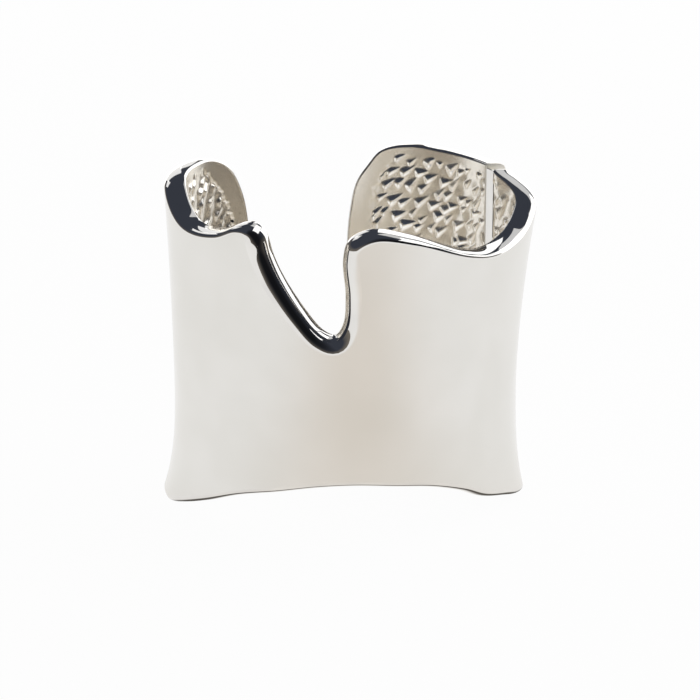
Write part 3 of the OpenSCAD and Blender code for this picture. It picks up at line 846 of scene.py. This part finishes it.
def dress(piece, material):
    piece.data.materials.clear()
    piece.data.materials.append(material)


for piece, material, slot, body, nodes in (
    (bodyShell, polishedSilver, "polished_silver", "body", ["body_shell"]),
    (bodyLiner, hammeredSilver, "hammered_silver", "body", ["body_liner"]),
    (bodyRim, mirrorSilver, "mirror_silver", "body", ["body_top_rim", "body_end_rim", "body_bottom_rim"]),
    (bodyPlate, pickledSilver, "hinge_silver", "body", ["body_hinge_plate"]),
    (closingSpring, springSteel, "spring_steel", "body", ["closing_spring"]),
    (wingShell, polishedSilver, "polished_silver", "wing", ["wing_shell"]),
    (wingLiner, hammeredSilver, "hammered_silver", "wing", ["wing_liner"]),
    (wingRim, mirrorSilver, "mirror_silver", "wing", ["wing_top_rim", "wing_end_rim", "wing_bottom_rim"]),
    (wingPlate, pickledSilver, "hinge_silver", "wing", ["wing_hinge_plate"]),
    (coverStrip, mirrorSilver, "hinge_silver", "wing", ["wing_cover_strip"]),
    *((piece, turnedSilver, "hinge_silver", "wing" if name.startswith("wing") else "body", [name])
      for name, piece in fittingPieces.items()),
):
    dress(piece, material)
    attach(piece, body)
    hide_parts(*nodes)
print("pieces dressed")

# white table, seen white by the camera; the metal sees it white with a painted shade in front of the cuff and
# a painted shadow under its front wall; sizes of the set are in metres
tableTop = {
    "size": 8,
    "white": "#F4F4F4",
    "warm": "#F0EAE3",  # painted shade: darker and warmer where the cuff's front would shade the table, seen only by the metal
    "paintedShadePlace": (-0.005, 0.06, 0),
    "paintedShadeStretch": (1, 0.6, 1),
    "paintedShadeReach": (0.01, 0.09),
    "dark": "#5E5A55",  # painted shadow right under the front half of the wall, seen only by the metal
    "paintedShadowOval": (0.0322, 0.0262),
    "paintedShadowEdges": (0.74, 1.0),  # shares of the oval
    "paintedShadowCore": (0.86, 0.96),
    "paintedShadowFront": (0.008, -0.004),
}
bpy.ops.object.select_all(action="DESELECT")
bpy.ops.mesh.primitive_plane_add(size=tableTop["size"], location=(0, 0, 0))
table = bpy.context.object
table.name = "table"
tableWhite, tree = startMaterial("tableWhite")
path = addNode(tree, "ShaderNodeLightPath")
inMetal = path.outputs["Is Glossy Ray"]
seen = addNode(tree, "ShaderNodeMath", {"operation": "MAXIMUM"},
               links={0: path.outputs["Is Camera Ray"], 1: inMetal})
share = addNode(tree, "ShaderNodeMath", {"operation": "MULTIPLY"}, {1: 0.97}, {0: seen.outputs[0]})
matte = addNode(tree, "ShaderNodeBsdfDiffuse", inputs={"Color": linear(tableTop["white"])})
place = addNode(tree, "ShaderNodeTexCoord").outputs["Object"]
# painted shade: a soft patch in front of the cuff, only in what the metal sees
offset = addNode(tree, "ShaderNodeVectorMath", {"operation": "MULTIPLY_ADD"},
                 {1: tableTop["paintedShadeStretch"], 2: tableTop["paintedShadePlace"]}, {0: place})
away = addNode(tree, "ShaderNodeVectorMath", {"operation": "LENGTH"}, links={0: offset.outputs["Vector"]})
nearest, farthest = tableTop["paintedShadeReach"]
fall = addNode(tree, "ShaderNodeMapRange", {"interpolation_type": "SMOOTHSTEP"},
               {"From Min": nearest, "From Max": farthest, "To Min": 1.0, "To Max": 0.0},
               {"Value": away.outputs["Value"]})
warmed = addNode(tree, "ShaderNodeMath", {"operation": "MULTIPLY"}, links={0: fall.outputs[0], 1: inMetal})
shade = blended(tree, warmed.outputs[0], "#FFFFFF", tableTop["warm"])
# painted shadow: a dark ring under the front half of the wall, only in what the metal sees
ovalX, ovalY = tableTop["paintedShadowOval"]
under = addNode(tree, "ShaderNodeVectorMath", {"operation": "MULTIPLY"},
                {1: (1 / ovalX, 1 / ovalY, 0)}, {0: place})
reach = addNode(tree, "ShaderNodeVectorMath", {"operation": "LENGTH"}, links={0: under.outputs["Vector"]})
ring = addNode(tree, "ShaderNodeValToRGB", links={0: reach.outputs["Value"]})
for stop, portion in zip(ring.color_ramp.elements, tableTop["paintedShadowEdges"]):
    stop.position = portion
    stop.color = (0, 0, 0, 1)
for portion in tableTop["paintedShadowCore"]:
    ring.color_ramp.elements.new(portion).color = (1, 1, 1, 1)
towardsBack = addNode(tree, "ShaderNodeSeparateXYZ", links={0: place}).outputs["Y"]
front = ranged(tree, towardsBack, 0, 1, *tableTop["paintedShadowFront"])
inFront = addNode(tree, "ShaderNodeMath", {"operation": "MULTIPLY"}, links={0: front, 1: inMetal})
darkened = addNode(tree, "ShaderNodeMath", {"operation": "MULTIPLY"},
                   links={0: ring.outputs[0], 1: inFront.outputs[0]})
shade = addNode(tree, "ShaderNodeMix", {"data_type": "RGBA"}, {7: linear(tableTop["dark"])},
                {0: darkened.outputs[0], 6: shade})
glow = addNode(tree, "ShaderNodeEmission", inputs={"Strength": 1.0}, links={"Color": shade.outputs[2]})
both = addNode(tree, "ShaderNodeMixShader",
               links={0: share.outputs[0], 1: matte.outputs[0], 2: glow.outputs[0]})
addNode(tree, "ShaderNodeOutputMaterial", links={"Surface": both.outputs[0]})
dress(table, tableWhite)


def showToMetalOnly(piece):
    piece.visible_camera = False
    piece.visible_diffuse = False
    piece.visible_shadow = False


# dark drape round the set: paler towards the table, deepest at the front right, where the notch's flank looks
drapeCloth = {
    "radius": 3.5,
    "low": "#7A746C",
    "high": "#3C404A",
    "rise": (0.03, 0.42),
    "deepest": "#17181B",
    "deepestWay": (0.539, -0.77, 0.342),
    "deepestReach": (0.6, 0.97),
}
bpy.ops.object.select_all(action="DESELECT")
bpy.ops.mesh.primitive_uv_sphere_add(segments=48, ring_count=24, radius=drapeCloth["radius"])
drape = bpy.context.object
drape.name = "drape"
drapeBlack, tree = startMaterial("drapeBlack")
place = addNode(tree, "ShaderNodeTexCoord").outputs["Object"]
outward = addNode(tree, "ShaderNodeVectorMath", {"operation": "NORMALIZE"}, links={0: place}).outputs[0]
facing = addNode(tree, "ShaderNodeVectorMath", {"operation": "DOT_PRODUCT"},
                 {1: drapeCloth["deepestWay"]}, {0: outward})
deep = ranged(tree, facing.outputs["Value"], 0, 1, *drapeCloth["deepestReach"])
height = addNode(tree, "ShaderNodeSeparateXYZ", links={0: outward}).outputs["Z"]
cloth = blended(tree, ranged(tree, height, 0, 1, *drapeCloth["rise"]), drapeCloth["low"], drapeCloth["high"])
shade = addNode(tree, "ShaderNodeMix", {"data_type": "RGBA"},
                {7: linear(drapeCloth["deepest"])}, {0: deep, 6: cloth})
glow = addNode(tree, "ShaderNodeEmission", inputs={"Strength": 1.0}, links={"Color": shade.outputs[2]})
addNode(tree, "ShaderNodeOutputMaterial", links={"Surface": glow.outputs[0]})
dress(drape, drapeBlack)
showToMetalOnly(drape)

# two cards by the wrist gap: a pale one that the lobe mirrors, a grey one for the inside beside the hinge
cards = {
    "pale": {"from": (-0.003, 0.0232), "to": (-0.027, 0.0377), "height": 0.055, "colour": "#F4F2EE"},
    "grey": {"from": (-0.027, 0.0377), "to": (-0.027, 0.07), "height": 0.055, "colour": "#A8A298"},
}
for name, sizes in cards.items():
    cardPaper, tree = startMaterial(name + "CardPaper")
    glow = addNode(tree, "ShaderNodeEmission", inputs={"Color": linear(sizes["colour"]), "Strength": 1.0})
    addNode(tree, "ShaderNodeOutputMaterial", links={"Surface": glow.outputs[0]})
    start, stop = Vector(sizes["from"]), Vector(sizes["to"])
    bpy.ops.object.select_all(action="DESELECT")
    bpy.ops.mesh.primitive_plane_add(size=1, location=(*((start + stop) / 2), sizes["height"] / 2),
                                     rotation=(math.pi / 2, 0, math.atan2(*(stop - start).yx)))
    card = bpy.context.object
    card.name = name + "Card"
    card.scale = ((stop - start).length, sizes["height"], 1)
    dress(card, cardPaper)
    showToMetalOnly(card)

# soft boxes round the back and at the right, which the rim mirrors as its highlights
lamps = {  # place, point it looks at, size and radiance
    "backBox": ((0.445, 0.7, 0.31), (0.445, 0.0, 0.31), (0.71, 0.66), 1.5),
    "rightBox": ((0.8, 0.4, 0.31), (0.0, 0.4, 0.31), (0.6, 0.66), 1.5),
    "lowBox": ((-0.13, 0.7, 0.08), (-0.13, 0.0, 0.08), (0.44, 0.16), 1.5),
    "leftBox": ((-0.193, 0.696, 0.25), (0.0, 0.0, 0.05), (0.242, 0.416), 0.95),
    "crestBox": ((-0.05, 0.718, 0.226), (0.0, 0.0, 0.05), (0.06, 0.146), 0.9),
    "shoulderBox": ((-0.347, 0.555, 0.475), (0.0, 0.0, 0.05), (0.19, 0.22), 1.0),
    "sideBox": ((0.444, 0.047, 0.543), (0.0, 0.0, 0.03), (0.602, 0.264), 1.5),
    "highBox": ((0.259, 0.32, 0.596), (0.0, 0.0, 0.03), (0.366, 0.259), 0.68),
}
for name, (place, look, size, radiance) in lamps.items():
    lampData = bpy.data.lights.new(name, "AREA")
    lampData.shape = "RECTANGLE"
    lampData.size, lampData.size_y = size
    lampData.energy = radiance * math.pi * lampData.size * lampData.size_y
    lamp = bpy.data.objects.new(name, lampData)
    lamp.location = place
    lamp.rotation_euler = (Vector(look) - Vector(place)).to_track_quat("-Z", "Y").to_euler()
    lamp.visible_camera = False
    scene.collection.objects.link(lamp)

# white sky for the camera and the metal, dimmer as a light
world = bpy.data.worlds.new("studio")
scene.world = world
world.use_nodes = True
tree = world.node_tree
tree.nodes.clear()
path = addNode(tree, "ShaderNodeLightPath")
seen = addNode(tree, "ShaderNodeMath", {"operation": "MAXIMUM"},
               links={0: path.outputs["Is Camera Ray"], 1: path.outputs["Is Glossy Ray"]})
level = ranged(tree, seen.outputs[0], 0.35, 1.0, 0.0, 1.0)
sky = addNode(tree, "ShaderNodeBackground", links={"Strength": level})
addNode(tree, "ShaderNodeOutputWorld", links={"Surface": sky.outputs[0]})

# camera at the photograph's place: turned a little to the left, looking down
view = {
    "azimuth": -4,
    "elevation": 19,
    "distance": 0.48,
    "target": (0.00055, 0.00033, 0.02578),
    "lens": 140.9,
    "sensor": 36,
}
turn, lift = math.radians(view["azimuth"]), math.radians(view["elevation"])
back = Vector((math.sin(turn) * math.cos(lift), -math.cos(turn) * math.cos(lift), math.sin(lift)))
cameraData = bpy.data.cameras.new("camera")
cameraData.lens = view["lens"]
cameraData.sensor_width = view["sensor"]
cameraData.clip_start = 0.01
camera = bpy.data.objects.new("camera", cameraData)
camera.location = Vector(view["target"]) + back * view["distance"]
camera.rotation_euler = back.to_track_quat("Z", "Y").to_euler()
scene.collection.objects.link(camera)
scene.camera = camera
scene.view_settings.view_transform = "Standard"
print("set lit")
